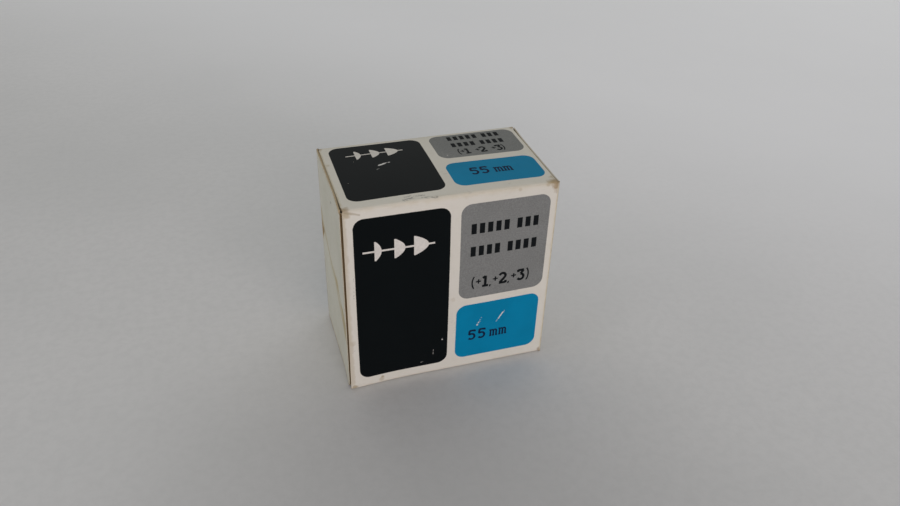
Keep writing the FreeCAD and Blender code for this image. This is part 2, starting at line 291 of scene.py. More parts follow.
def printed_board(name, across, along, inks, scratches=(), stains_and_shade=(), scuffs=(), scuffed=0.62):
    """Coated board with its ink, its yellowed edges, its marks of handling and any painted shade
    bands given among its stains.
    """
    graph = Graph(name)
    x, y, z = graph.axes
    axes = {"x": x, "-x": x * -1.0, "y": y, "-y": y * -1.0, "z": z}
    a, b = axes[across], axes[along]
    edge, corner = box_distances(graph, x, y, z)
    wide = graph.cloud(14.0, 3.0)
    mottle = graph.cloud(2.2, 4.0)
    fibre = graph.cloud(0.35, 3.0, 0.7, stretch=(1.0, 1.0, 2.5))

    tone = graph.mix(graph.step(wide, 0.35, 0.75) * 0.3, WHITE_BOARD, (0.66, 0.63, 0.535))
    tone = graph.mix(graph.step(mottle, 0.45, 0.75) * 0.12, tone, (0.60, 0.56, 0.46))
    aged = graph.step(edge - mottle * 1.4, 1.0, -0.9) * graph.blend_values(wide, 0.15, 0.55)
    tone = graph.mix(aged, tone, YELLOWED)
    worn = graph.step(edge - fibre * 0.8, 0.1, -0.4)
    worn *= graph.step(graph.cloud(5.0, 3.0), 0.52, 0.72)
    tone = graph.mix(worn * graph.blend_values(graph.step(x, -26.0, -32.0), 0.28, 0.6),
                     tone, BROWNED)
    crushed = graph.step(corner - mottle * 2.4, 0.9, -1.2)
    tone = graph.mix(crushed * 0.35, tone, TAN)
    hair = graph.cloud(0.7, 2.0, stretch=(0.35, 1.0, 1.6))
    smear = graph.step(hair, 0.6, 0.74) * graph.step(wide, 0.48, 0.66)
    tone = graph.mix(smear * 0.42, tone, (0.36, 0.34, 0.31))

    roughness = graph.blend_values(graph.step(mottle, 0.3, 0.7), 0.46, 0.56)
    tone, roughness = with_inks(graph, a, b, wide, tone, roughness, inks)
    tone = with_marks(graph, a, b, mottle, tone, scratches, stains_and_shade, scuffs, scuffed)
    relief = fibre * 0.35 + mottle * 0.65
    return graph.finish(tone, roughness, graph.bump(relief, 0.35, 0.05),
                        Specular_IOR_Level=0.06)


def plain_board(name, crease_light_and_marks=()):
    """Unprinted coated board: closures, flaps and folds."""
    graph = Graph(name)
    x, y, z = graph.axes
    edge, corner = box_distances(graph, x, y, z)
    wide = graph.cloud(12.0, 3.0)
    mottle = graph.cloud(2.0, 4.0)
    fibre = graph.cloud(0.35, 3.0, 0.7)
    tone = graph.mix(graph.step(wide, 0.3, 0.75) * 0.5, (0.70, 0.685, 0.60), (0.62, 0.61, 0.51))
    tone = graph.mix(graph.step(mottle, 0.45, 0.75) * 0.2, tone, (0.55, 0.50, 0.37))
    tone = graph.mix(graph.step(edge - mottle * 2.0, 1.3, -0.9) * 0.62, tone, YELLOWED)
    worn = graph.step(edge - fibre * 0.9, 0.2, -0.35) * graph.step(mottle, 0.4, 0.66)
    tone = graph.mix(worn * graph.blend_values(graph.step(x, -26.0, -32.0), 0.18, 0.45),
                     tone, BROWNED)
    crushed = graph.step(corner - mottle * 2.6, 1.0, -1.1)
    tone = graph.mix(crushed * 0.45, tone, BROWNED)
    # Bands along the creases: painted light where the crumple catches it, and crease lines.
    for start, end, width, colour, strength in crease_light_and_marks:
        distance = graph.segment(y, z, start, end)
        uneven = distance + (mottle - 0.5) * (width * 0.8)
        mark = graph.step(uneven, width * 1.25, width * 0.35) * strength
        tone = graph.mix(mark, tone, colour)
    relief = fibre * 0.35 + mottle * 0.65
    return graph.finish(tone, 0.55, graph.bump(relief, 0.35, 0.05), Specular_IOR_Level=0.15)


def raw_board(name, colour=RAW_BOARD, dirty=0.5):
    """Uncoated grey-brown side and cut edges of the board."""
    graph = Graph(name)
    fibre = graph.cloud(0.6, 4.0, 0.75, stretch=(1.0, 1.0, 3.0))
    wide = graph.cloud(16.0, 2.0)
    tone = graph.mix(graph.step(fibre, 0.3, 0.75), colour, tinted(colour, 1.3))
    tone = graph.mix(graph.step(wide, 0.2, 0.8) * dirty, tone, tinted(colour, 0.78))
    return graph.finish(tone, 0.85, graph.bump(fibre, 0.5, 0.06), Specular_IOR_Level=0.2)


INK_RADIUS = 3.5


def printed_block(low_left, high_right, colour, roughness, mottled=False):
    centre = tuple((p + q) / 2 for p, q in zip(low_left, high_right))
    half = tuple((q - p) / 2 for p, q in zip(low_left, high_right))
    return dict(centre=centre, half=half, colour=colour, roughness=roughness, mottled=mottled)


BROAD_INKS = [
    printed_block((-31.75, 4.15), (-0.95, 67.0), BLACK_INK, 0.42),
    printed_block((2.40, 30.5), (32.35, 66.85), GREY_INK, 0.55, mottled=True),
    printed_block((1.90, 4.50), (31.80, 27.70), BLUE_INK, 0.42),
]
NARROW_INKS = [
    printed_block((-31.75, -16.5), (-0.65, 19.05), BLACK_INK, 0.36),
    printed_block((2.70, 2.30), (32.95, 19.15), GREY_INK, 0.50, mottled=True),
    printed_block((2.40, -16.2), (32.85, -1.20), BLUE_INK, 0.40),
]
GRIME = (0.42, 0.33, 0.19)


def patch(centre, radius, colour, strength):
    return centre, (centre[0] + 0.01, centre[1]), radius, colour, strength


FRONT_SCRATCHES = [
    ((9.6, 18.2), (10.5, 19.6), 0.42, 1.0),
    ((10.6, 20.3), (10.95, 21.1), 0.28, 0.9),
    ((16.5, 18.3), (16.9, 18.9), 0.24, 0.9),
    ((17.3, 19.4), (19.1, 22.4), 0.34, 1.0),
    ((-2.83, 14.5), (-2.80, 14.55), 0.34, 1.0),
    ((-6.0, 8.6), (-5.9, 10.6), 0.16, 0.5),
    ((-10.4, 5.8), (-9.6, 6.0), 0.14, 0.5),
]
FRONT_SCUFFS = [
    ((-32.4, 38.0), (-32.2, 47.0), 0.35),
    ((-33.9, 16.0), (-32.2, 17.0), 0.4),
]
FRONT_STAINS_AND_SHADE = [
    patch((-24.0, 2.9), 0.8, GRIME, 0.75),
    patch((-24.3, 1.9), 1.2, GRIME, 0.45),
    # Painted shade: a darker band along the front panel's left edge, where the board curls back
    # towards the left end.
    ((-34.5, 3.0), (-34.5, 67.0), 1.4, (0.47, 0.39, 0.27), 0.42),
    patch((-33.6, 69.0), 1.7, GRIME, 0.65),
    ((-34.4, 70.2), (-29.5, 68.6), 0.45, (0.34, 0.27, 0.17), 0.5),
    patch((34.2, 69.7), 2.9, TAN, 0.85),
    patch((34.6, 67.0), 1.0, BROWNED, 0.45),
    patch((31.0, 70.1), 1.3, GRIME, 0.5),
    patch((21.5, 69.6), 0.9, GRIME, 0.35),
    patch((-33.9, 1.0), 1.3, GRIME, 0.7),
    patch((34.4, 1.2), 1.2, BROWNED, 0.6),
    patch((0.5, 31.0), 1.2, GRIME, 0.22),
    patch((-33.6, 20.0), 1.4, GRIME, 0.25),
]
TOP_SCRATCHES = [
    ((-17.6, 3.7), (-15.6, 4.5), 0.55, 1.0),
    ((-15.2, 4.7), (-13.9, 4.9), 0.30, 0.9),
    ((-18.9, 1.1), (-18.2, 1.5), 0.28, 0.45),
    ((5.6, 4.3), (5.7, 4.6), 0.30, 0.8),
]
TOP_STAINS = [
    patch((-33.8, -20.0), 1.8, TAN, 0.70),
    patch((33.8, -20.2), 3.4, TAN, 0.85),
    patch((31.8, -20.5), 1.8, GRIME, 0.65),
    patch((34.2, -17.2), 1.5, GRIME, 0.6),
    patch((34.3, 19.5), 1.6, GRIME, 0.6),
    patch((-34.4, 19.6), 1.5, TAN, 0.7),
    patch((-33.6, 8.0), 1.2, GRIME, 0.35),
]
TOP_SCUFFS = [
    ((-15.4, -19.6), (-12.2, -18.6), 0.9),
    ((-14.8, -18.0), (-13.0, -17.7), 0.6),
    ((-11.6, -18.0), (-9.0, -18.3), 0.7),
    ((-9.6, -19.6), (-5.6, -20.2), 0.9),
]
LEFT_CREASE_LIGHT_AND_MARKS = [
    # Painted light: the first three broad yellowish bands lie along the crumpled crease where it
    # catches the light; the thinner lines and the dot after them are crease lines and marks on
    # the board.
    ((20.5, 46.0), (5.0, 36.5), 3.6, (0.56, 0.48, 0.30), 0.85),
    ((5.0, 36.5), (-7.0, 33.5), 3.9, (0.54, 0.46, 0.28), 0.90),
    ((-7.0, 33.5), (-19.5, 23.0), 3.7, (0.52, 0.43, 0.24), 0.95),
    ((20.5, 49.0), (4.0, 39.8), 1.1, (0.48, 0.39, 0.23), 0.45),
    ((8.0, 38.5), (-17.0, 25.5), 1.0, (0.40, 0.31, 0.16), 0.55),
    ((-2.0, 30.8), (-19.5, 19.6), 0.9, (0.48, 0.39, 0.23), 0.40),
    ((20.4, 26.0), (20.4, 3.0), 0.9, (0.30, 0.22, 0.10), 0.8),
    ((20.0, 66.0), (20.6, 55.0), 0.6, (0.40, 0.36, 0.26), 0.5),
    ((-4.07, 63.8), (-4.0, 63.9), 0.45, (0.05, 0.04, 0.03), 0.9),
]

board_front = printed_board("board_front", "x", "z", BROAD_INKS, FRONT_SCRATCHES, FRONT_STAINS_AND_SHADE,
                            FRONT_SCUFFS, 0.30)
board_top = printed_board("board_top", "x", "y", NARROW_INKS, TOP_SCRATCHES, TOP_STAINS,
                          TOP_SCUFFS)
board_back = printed_board("board_back", "-x", "z", BROAD_INKS)
board_bottom = printed_board("board_bottom", "x", "-y", NARROW_INKS)
board_plain = plain_board("board_plain")
board_left = plain_board("board_left", LEFT_CREASE_LIGHT_AND_MARKS)
board_raw = raw_board("board_raw")
board_cut = raw_board("board_cut", (0.40, 0.31, 0.19), 0.5)
board_pale = raw_board("board_pale", (0.52, 0.47, 0.38), 0.3)
# Near-black board: painted shade for the dark crevice beside the left closure's tuck fold.
board_crevice_shade = raw_board("board_crevice_shade", (0.12, 0.078, 0.036), 0.5)


# ---------------------------------------------------------------- meshes

def link(name, mesh):
    piece = bpy.data.objects.new(name, mesh)
    bpy.context.scene.collection.objects.link(piece)
    return piece


def mesh_from(name, points, faces, slots, materials, sharp_angle=None):
    """Mesh from points in millimetres; slots gives each face's material number."""
    mesh = bpy.data.meshes.new(name)
    mesh.from_pydata([tuple(float(c) * MM for c in point) for point in points], [], faces)
    for material in materials:
        mesh.materials.append(material)
    mesh.polygons.foreach_set("material_index", slots)
    mesh.polygons.foreach_set("use_smooth", [True] * len(faces))
    mesh.update()
    if sharp_angle is not None:
        mesh.set_sharp_from_angle(angle=math.radians(sharp_angle))
    return link(name, mesh)


def face_outwards(piece):
    grid = bmesh.new()
    grid.from_mesh(piece.data)
    bmesh.ops.recalc_face_normals(grid, faces=grid.faces)
    grid.to_mesh(piece.data)
    grid.free()
    return piece


def sheet(name, outer, inward, thickness, materials, face_slot=None):
    """Thick sheet between a grid of outer points and the same grid moved inward.

    The last two materials are the inner side and the cut rim."""
    rows, columns = outer.shape[:2]
    inner = outer + inward * thickness
    points = np.concatenate([outer.reshape(-1, 3), inner.reshape(-1, 3)])
    half = rows * columns
    faces = []
    slots = []
    for row in range(rows - 1):
        for column in range(columns - 1):
            start = row * columns + column
            quad = (start, start + 1, start + columns + 1, start + columns)
            faces.append(quad)
            slots.append(face_slot(row, column) if face_slot else 0)
            faces.append(tuple(half + corner for corner in reversed(quad)))
            slots.append(len(materials) - 2)
    rim = [(0, column) for column in range(columns - 1)]
    rim += [(row, columns - 1) for row in range(rows - 1)]
    rim += [(rows - 1, column) for column in range(columns - 1, 0, -1)]
    rim += [(row, 0) for row in range(rows - 1, 0, -1)]
    loop = [row * columns + column for row, column in rim]
    for corner, following in zip(loop, loop[1:] + loop[:1]):
        faces.append((following, corner, half + corner, half + following))
        slots.append(len(materials) - 1)
    return face_outwards(mesh_from(name, points, faces, slots, materials, 50))


def adopt(piece, body, slot, *nodes):
    """The piece rides on a body and stands for CAD nodes."""
    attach(piece, body)
    if nodes:
        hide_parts(*nodes)
    return piece


def wobble(x, y, z, grain, seed):
    """Smooth unevenness from about -1 to 1."""
    return noise.noise(Vector((x / grain + seed, y / grain - seed, z / grain + 2 * seed)))


# ---------------------------------------------------------------- carton surface

FRONT_SWELL = 0.42
BACK_SWELL = 0.40
TOP_SWELL = 0.30
CLOSURE_SWELL = 0.30
FOLD_BOW = 0.42
CORNER_PULL = (-0.30, -1.0, 0.0)


def bow(value, half):
    """1 in the middle of a panel, 0 at its edges."""
    share = min(1.0, abs(value) / half)
    return (1.0 - share * share) ** 1.3


def panel_swell(face, x, y, z):
    """How far the board stands out from the flat panel, in millimetres."""
    along = bow(x, HALF_W)
    if face == "front":
        swell = FRONT_SWELL * along * bow(z - HEIGHT / 2, HEIGHT / 2)
        spread = 0.20 + 0.18 * math.exp(-((z - 56.0) / 13.0) ** 2)
        spread += 0.07 * wobble(0, 0, z, 8.0, 3.0)
        curl = math.exp(-((x + HALF_W - 1.9) / 1.5) ** 2) * spread
        return swell + curl + 0.10 * wobble(x, y, z, 17.0, 1.0) * along
    if face == "back":
        return BACK_SWELL * along * bow(z - HEIGHT / 2, HEIGHT / 2)
    if face == "top":
        swell = TOP_SWELL * along * bow(y, HALF_D)
        return swell + 0.10 * wobble(x, y, z, 15.0, 5.0) * along
    return 0.0


def fold_lift(x):
    """The top front fold bows up a little in the middle."""
    return FOLD_BOW * bow(x, HALF_W)


def corner_pull(point):
    """The lower left front corner is pulled forwards and a little outwards."""
    x, y, z = point
    near = math.exp(-((x + HALF_W) / 11.0) ** 2 - (z / 14.0) ** 2 - ((y + HALF_D) / 9.0) ** 2)
    return np.array(CORNER_PULL) * near


OUTWARD = {
    "front": np.array((0.0, -1.0, 0.0)),
    "back": np.array((0.0, 1.0, 0.0)),
    "top": np.array((0.0, 0.0, 1.0)),
    "bottom": np.array((0.0, 0.0, -1.0)),
}


def on_panel(face, x, y, z, lift=0.0):
    """Point of the printed surface above a flat panel point."""
    point = np.array((x, y, z), float) + OUTWARD[face] * (panel_swell(face, x, y, z) + lift)
    if face in ("front", "top"):
        near_fold = max(0.0, 1.0 - math.hypot(y + HALF_D, z - HEIGHT) / 40.0)
        point[2] += fold_lift(x) * near_fold ** 2
    if face in ("front", "bottom"):
        point += corner_pull((x, y, z))
    return point


def tube_path():
    """Corner path of the board strip: y, z, outward normal, face name."""
    glue_low = BOARD + 0.06
    corners = [
        ((HALF_D - 0.1, 0.0), None),
        ((-HALF_D, 0.0), "bottom"),
        ((-HALF_D, HEIGHT), "front"),
        ((HALF_D, HEIGHT), "top"),
        ((HALF_D, glue_low), "back"),
        ((HALF_D - GLUE_FLAP, glue_low), "glue"),
    ]
    path = []
    radius = PANEL_FOLD
    for index in range(1, len(corners)):
        start = np.array(corners[index - 1][0])
        end = np.array(corners[index][0])
        run = (end - start) / np.linalg.norm(end - start)
        outward = np.array((-run[1], run[0]))
        first = index > 1
        last = index < len(corners) - 1
        begin = start + run * (radius if first else 0.0)
        finish = end - run * (radius if last else 0.0)
        count = max(3, int(np.linalg.norm(finish - begin) / 1.4))
        for number in range(count + 1):
            point = begin + (finish - begin) * number / count
            path.append((point, outward, corners[index][1]))
        if last:
            following = np.array(corners[index + 1][0]) - end
            following /= np.linalg.norm(following)
            next_outward = np.array((-following[1], following[0]))
            centre = end - run * radius + following * radius
            for number in range(1, 8):
                turn = number / 8 * math.pi / 2
                normal = outward * math.cos(turn) + next_outward * math.sin(turn)
                name = corners[index][1] if number < 4 else corners[index + 1][1]
                path.append((centre + normal * radius, normal, name))
    return path


DUST_CREASE = -DUST_X - DUST_FOLD
GLUE_END = HALF_W - 2.0
END_LEFT = {"front": -HALF_W + 0.45, "back": -HALF_W + FOLD, "top": -DUST_CREASE,
            "bottom": -DUST_CREASE, "glue": -GLUE_END}
END_RIGHT = {"front": HALF_W - FOLD, "back": HALF_W, "top": DUST_CREASE,
             "bottom": DUST_CREASE, "glue": GLUE_END}


def end_of(face, ends, y, z):
    """Where a panel ends; beyond the dust flap's fold it runs on to its cut edge."""
    end = ends[face]
    if face == "front" and end < 0:
        return end - 0.20 * (1.0 - z / HEIGHT)
    if face in ("top", "bottom"):
        across = y if end < 0 else -y
        if not DUST_CUT[0] <= across <= DUST_CUT[1]:
            return math.copysign(HALF_W - 0.7, end)
    return end


def make_tube():
    path = tube_path()
    stations = 54
    outer = np.zeros((len(path), stations, 3))
    inward = np.zeros((len(path), stations, 3))
    for row, (point, normal, face) in enumerate(path):
        left = end_of(face, END_LEFT, *point)
        right = end_of(face, END_RIGHT, *point)
        flat = abs(normal[0]) > 0.999 or abs(normal[1]) > 0.999
        for column in range(stations):
            share = column / (stations - 1)
            x = left + (right - left) * share
            if flat and face in OUTWARD:
                outer[row, column] = on_panel(face, x, point[0], point[1])
            else:
                lift = fold_lift(x) if point[0] < -HALF_D / 2 and point[1] > HEIGHT / 2 else 0.0
                outer[row, column] = (x, point[0], point[1] + lift)
                outer[row, column] += corner_pull((x, point[0], point[1]))
            inward[row, column] = (0.0, -normal[0], -normal[1])
    faces = [face for point, normal, face in path]
    order = {"bottom": 0, "front": 1, "top": 2, "back": 3, "glue": 4}

    def slot_of(row, column):
        return order[faces[row]]

    materials = [board_bottom, board_front, board_top, board_back, board_plain,
                 board_raw, board_cut]
    piece = sheet("tube_board", outer, inward, BOARD, materials, slot_of)
    return adopt(piece, "carton", "board", "carton_tube")


def flat_grid(rows, columns, at):
    """Grid of points from a function of two shares from 0 to 1."""
    grid = np.zeros((rows, columns, 3))
    for row in range(rows):
        for column in range(columns):
            grid[row, column] = at(row / (rows - 1), column / (columns - 1))
    return grid


def same_direction(grid, direction):
    return np.broadcast_to(np.array(direction, float), grid.shape).copy()


def half_turn(grid):
    """The right end is the left end turned half round about the vertical."""
    return grid * np.array((-1.0, -1.0, 1.0))


def ended(side, grid, inward):
    if side == "right":
        return half_turn(grid), half_turn(inward)
    return grid, inward


def dent(y, z, start, end, width):
    """1 on a line across the panel, falling to 0 beside it."""
    run = (end[0] - start[0], end[1] - start[1])
    length = run[0] ** 2 + run[1] ** 2
    share = ((y - start[0]) * run[0] + (z - start[1]) * run[1]) / length
    share = max(0.0, min(1.0, share))
    off = math.hypot(y - start[0] - share * run[0], z - start[1] - share * run[1])
    return math.exp(-(off / width) ** 2)


TUCK_ANGLE = math.radians(10)
TUCK_FOLD = (-HALF_W - 0.35, -HALF_D + BOARD + 0.25)
DENT_VALLEY = ((22.0, 40.0), (-14.0, 27.6))
DENT_RIDGE = ((14.0, 45.0), (-13.0, 32.0))


def make_closure(side):
    low, high = CLOSURE_LOW, CLOSURE_HIGH
    front, back = TUCK_FOLD[1] + FOLD, HALF_D - FOLD
    pressed, seed = (0.0, 7.0) if side == "left" else (0.12, 9.0)

    def at(share_z, share_y):
        z = low + (high - low) * share_z
        y = front + (back - front) * share_y
        along = bow(z - HEIGHT / 2, HEIGHT / 2) * bow(y, HALF_D)
        out = 0.35 * math.exp(-((y - front) / 6.0) ** 2)
        out += CLOSURE_SWELL * along + 0.08 * along * wobble(0, y, z, 12.0, seed)
        if side == "left":
            depth = 0.45 + 0.45 * max(0.0, y) / 20.0
            out -= depth * dent(y, z, *DENT_VALLEY, 2.4)
            out += 0.25 * dent(y, z, *DENT_RIDGE, 3.0)
        to_edge = min(z - low, high - z)
        out -= pressed * math.exp(-(to_edge / 0.5) ** 2) * min(1.0, (back - y) / 3.0)
        return (-HALF_W - out, y, z)

    grid = flat_grid(72, 44, at)
    grid, inward = ended(side, grid, same_direction(grid, (1, 0, 0)))
    face, rim = (board_left, board_cut) if side == "left" else (board_plain, board_pale)
    piece = sheet(side + "_closure_board", grid, inward, BOARD, [face, board_raw, rim])
    return adopt(piece, side + "_closure", "board", side + "_closure")


def tuck_point(distance, height):
    """Outer face of the tuck flap, distance in from its fold."""
    return (TUCK_FOLD[0] + distance * math.cos(TUCK_ANGLE),
            TUCK_FOLD[1] + distance * math.sin(TUCK_ANGLE), height)


def make_tuck(side):
    low, high = 1.2, HEIGHT - 1.2
    start, end = FOLD, TUCK_FLAP

    def at(share_z, share_out):
        distance = start + (end - start) * share_out
        round_off = max(0.0, (distance - TUCK_FLAP + TUCK_CORNER) / (TUCK_CORNER + 0.05))
        rounding = TUCK_CORNER * (1.0 - math.sqrt(max(0.0, 1.0 - round_off ** 2)))
        z = (low + rounding) + (high - low - 2 * rounding) * share_z
        return tuck_point(distance, z)

    grid = flat_grid(50, 14, at)
    inward = same_direction(grid, (-math.sin(TUCK_ANGLE), math.cos(TUCK_ANGLE), 0))
    grid, inward = ended(side, grid, inward)
    # On the left, the column of the flap next to its fold is painted near-black: painted shade
    # of the crevice behind the front panel's edge.
    piece = sheet(side + "_tuck_board", grid, inward, BOARD,
                  [board_plain, board_crevice_shade, board_raw, board_cut],
                  lambda row, column: 1 if side == "left" and column < 1 else 0)
    return adopt(piece, side + "_tuck", "board", side + "_tuck_flap")


def make_dust(side, level):
    """Tapered flap: its slanted edge is on the closure's crease side."""
    def at(share_down, share_across):
        down = DUST_FOLD + (DUST_FLAP - DUST_FOLD) * share_down
        crease_side = HALF_D - 1.0 - DUST_TAPER * down / DUST_FLAP
        slanted = max(0.0, (down - DUST_SHOULDER) / (DUST_FLAP - DUST_SHOULDER))
        tuck_side = -HALF_D + 2.8 + DUST_SLANT * slanted
        y = tuck_side + (crease_side - tuck_side) * share_across
        z = HEIGHT - down if level == "top" else down
        return (DUST_X, y, z)

    grid = flat_grid(24, 26, at)
    grid, inward = ended(side, grid, same_direction(grid, (1, 0, 0)))
    name = side + "_dust_flap_" + level
    piece = sheet(side + "_dust_board_" + level, grid, inward, BOARD,
                  [board_plain, board_raw, board_cut])
    return adopt(piece, side + "_dust_" + level, "board", name)


def quarter_fold(centre, size, first, second, count=9):
    """Rows of a rounded fold, as place and outward normal, from one face to the next."""
    rows = []
    for number in range(count):
        turn = math.pi / 2 * number / (count - 1)
        normal = np.array(first) * math.cos(turn) + np.array(second) * math.sin(turn)
        rows.append((np.array(centre) + normal * size, normal))
    return rows


def tuck_fold(count=9):
    """Rows of the sharper fold from a closure to its tuck flap."""
    corner = np.array(TUCK_FOLD)
    first = corner + np.array((0.0, FOLD))
    last = np.array(tuck_point(FOLD, 0)[:2])
    flap_normal = np.array((math.sin(TUCK_ANGLE), -math.cos(TUCK_ANGLE), 0.0))
    rows = []
    for number in range(count):
        share = number / (count - 1)
        spot = (1 - share) ** 2 * first + 2 * share * (1 - share) * corner + share ** 2 * last
        mixed = np.array((-1.0, 0.0, 0.0)) * (1 - share) + flap_normal * share
        rows.append((np.array((spot[0], spot[1], 0.0)), mixed / np.linalg.norm(mixed)))
    return rows


def fold_strip(name, side, rows, spans, axis, bodies, shaded_from=99):
    """Board that bends round a crease between two bodies; rows from the given row on are painted
    near-black as crevice shade.
    """
    outer = np.zeros((len(rows), len(spans), 3))
    inward = np.zeros_like(outer)
    for row, (place, normal) in enumerate(rows):
        outer[row] = place
        outer[row, :, axis] = spans
        inward[row] = -normal
    outer, inward = ended(side, outer, inward)
    piece = sheet(name, outer, inward, BOARD,
                  [board_plain, board_crevice_shade, board_raw, board_cut],
                  lambda row, column: 1 if row >= shaded_from else 0)
    start, end = rows[0][0], rows[-1][0]
    if side == "right":
        start, end = half_turn(start), half_turn(end)
    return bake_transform(piece, bodies[0], bodies[1], tuple(start * MM), tuple(end * MM))


def make_creases(side):
    """Rounded folds: broad panel to closure, closure to tuck flap, panels to dust flaps."""
    fold_strip(side + "_fold_closure", side,
               quarter_fold((-HALF_W + FOLD, HALF_D - FOLD, 0.0), FOLD,
                            (0.0, 1.0, 0.0), (-1.0, 0.0, 0.0)),
               np.linspace(CLOSURE_LOW, CLOSURE_HIGH, 40), 2, ("carton", side + "_closure"))
    # On the left, rows 4 on of the closure-to-tuck fold are painted near-black: painted shade of
    # the crevice behind the front panel's edge.
    fold_strip(side + "_fold_tuck", side, tuck_fold(), np.linspace(1.0, HEIGHT - 1.0, 40), 2,
               (side + "_closure", side + "_tuck"), 4 if side == "left" else 99)
    for level, sign, height in (("top", 1.0, HEIGHT), ("bottom", -1.0, 0.0)):
        fold_strip(side + "_fold_dust_" + level, side,
                   quarter_fold((DUST_X + DUST_FOLD, 0.0, height - sign * DUST_FOLD),
                                DUST_FOLD, (0.0, 0.0, sign), (-1.0, 0.0, 0.0)),
                   np.linspace(*DUST_SPAN, 24), 1, ("carton", side + "_dust_" + level))


make_tube()
for end_side in ("left", "right"):
    make_closure(end_side)
    make_tuck(end_side)
    for end_level in ("top", "bottom"):
        make_dust(end_side, end_level)
    make_creases(end_side)


# ---------------------------------------------------------------- printed marks

def flat_ink(name, colour, roughness=0.45):
    graph = Graph(name)
    grain = graph.cloud(0.9, 3.0, 0.7)
    tone = graph.mix(graph.step(grain, 0.35, 0.75) * 0.35, colour,
                     tuple(min(1.0, 1.4 * part + 0.004) for part in colour))
    return graph.finish(tone, roughness, graph.bump(grain, 0.2, 0.02), Specular_IOR_Level=0.06)


mark_white = flat_ink("mark_white", (0.66, 0.63, 0.575))
mark_black = flat_ink("mark_black", (0.0055, 0.0070, 0.0080), 0.5)
mark_navy = flat_ink("mark_navy", (0.0055, 0.0150, 0.0480), 0.5)


def arc(cx, cy, rx, ry, start, end, count=10):
    """Points on an ellipse between two angles in degrees."""
    points = []
    for number in range(count + 1):
        turn = math.radians(start + (end - start) * number / count)
        points.append((cx + rx * math.cos(turn), cy + ry * math.sin(turn)))
    return points


WORD_SPACE = 0.55

# Strokes of the numerals on a cap height of 1, each a list of points.
GLYPHS = {
    "1": (0.52, [
        [(0.28, 0.05), (0.28, 0.96)],
        [(0.06, 0.80), (0.28, 0.93)],
        [(0.04, 0.06), (0.52, 0.06)],
    ]),
    "2": (0.66, [
        arc(0.31, 0.70, 0.24, 0.24, 165, -25) + [(0.40, 0.42), (0.10, 0.10)],
        [(0.05, 0.07), (0.60, 0.07)],
        [(0.58, 0.02), (0.58, 0.24)],
    ]),
    "3": (0.66, [
        [(0.08, 0.93), (0.56, 0.93)],
        [(0.10, 0.98), (0.10, 0.76)],
        [(0.54, 0.90), (0.30, 0.60)],
        arc(0.30, 0.32, 0.25, 0.26, 90, -150),
    ]),
    "5": (0.66, [
        [(0.12, 0.93), (0.56, 0.93)],
        [(0.56, 0.98), (0.56, 0.80)],
        [(0.14, 0.93), (0.11, 0.52)],
        [(0.11, 0.54)] + arc(0.30, 0.33, 0.26, 0.27, 115, -145),
    ]),
    "+": (0.44, [
        [(0.03, 0.54), (0.43, 0.54)],
        [(0.23, 0.34), (0.23, 0.74)],
    ]),
    "(": (0.34, [arc(0.42, 0.48, 0.30, 0.62, 118, 242)]),
    ")": (0.34, [arc(-0.08, 0.48, 0.30, 0.62, 62, -62)]),
    ",": (0.22, [[(0.12, 0.10), (0.06, -0.10)]]),
    "m": (0.70, [
        [(0.12, 0.04), (0.12, 0.60)],
        [(0.02, 0.60), (0.12, 0.60)],
        [(0.12, 0.48)] + arc(0.235, 0.46, 0.115, 0.13, 150, 0, 6) + [(0.35, 0.04)],
        [(0.35, 0.46)] + arc(0.465, 0.46, 0.115, 0.13, 150, 0, 6) + [(0.58, 0.04)],
        [(0.03, 0.04), (0.21, 0.04)],
        [(0.27, 0.04), (0.43, 0.04)],
        [(0.50, 0.04), (0.68, 0.04)],
    ]),
}
THIN_GLYPHS = "+(),"


def ribbon(points, width):
    """Two edge lines beside a stroke, with extra points so that it can follow the board."""
    fine = [points[0]]
    for start, end in zip(points, points[1:]):
        pieces = max(1, int(math.dist(start, end) / 1.5))
        for number in range(1, pieces + 1):
            share = number / pieces
            fine.append((start[0] + (end[0] - start[0]) * share,
                         start[1] + (end[1] - start[1]) * share))
    edges = []
    for index, point in enumerate(fine):
        before = fine[max(0, index - 1)]
        after = fine[min(len(fine) - 1, index + 1)]
        run = (after[0] - before[0], after[1] - before[1])
        length = math.hypot(*run) or 1.0
        side = (-run[1] / length * width / 2, run[0] / length * width / 2)
        edges.append(((point[0] + side[0], point[1] + side[1]),
                      (point[0] - side[0], point[1] - side[1])))
    return edges


def glyph_ribbons(text, left, base, height, weight, spacing):
    """Ribbons of a line of numerals, starting at left on the base line."""
    ribbons = []
    pen = left
    for letter in text:
        if letter == " ":
            pen += WORD_SPACE * height
            continue
        advance, strokes = GLYPHS[letter]
        thickness = weight * (0.55 if letter in THIN_GLYPHS else 1.0)
        for stroke in strokes:
            points = [(pen + height * px, base + height * py) for px, py in stroke]
            ribbons.append(ribbon(points, thickness))
        pen += height * (advance + spacing)
    return ribbons


def text_width(text, height, spacing):
    total = 0.0
    for letter in text:
        total += height * (WORD_SPACE if letter == " " else GLYPHS[letter][0] + spacing)
    return total - height * spacing


def fitted(text, left, right, base, height, weight):
    """Line of numerals whose letter spacing makes it run from left to right."""
    plain = text_width(text, height, 0.0)
    gaps = sum(1 for letter in text if letter != " ") - 1
    spacing = (right - left - plain) / (height * gaps)
    return glyph_ribbons(text, left, base, height, weight, spacing)


def bar(left, right, base, height):
    return ribbon([(left, base + height / 2), (right, base + height / 2)], height)


def lens_section(centre, base, height, width):
    """Filled plano-convex lens seen from its side, as one ribbon of cross strips."""
    count = 12
    edges = []
    for number in range(count + 1):
        share = number / count
        reach = width * (1.0 - (2 * share - 1) ** 2) + 0.45
        level = base + height * share
        edges.append(((centre + reach - width / 2, level), (centre - width / 2, level)))
    return edges


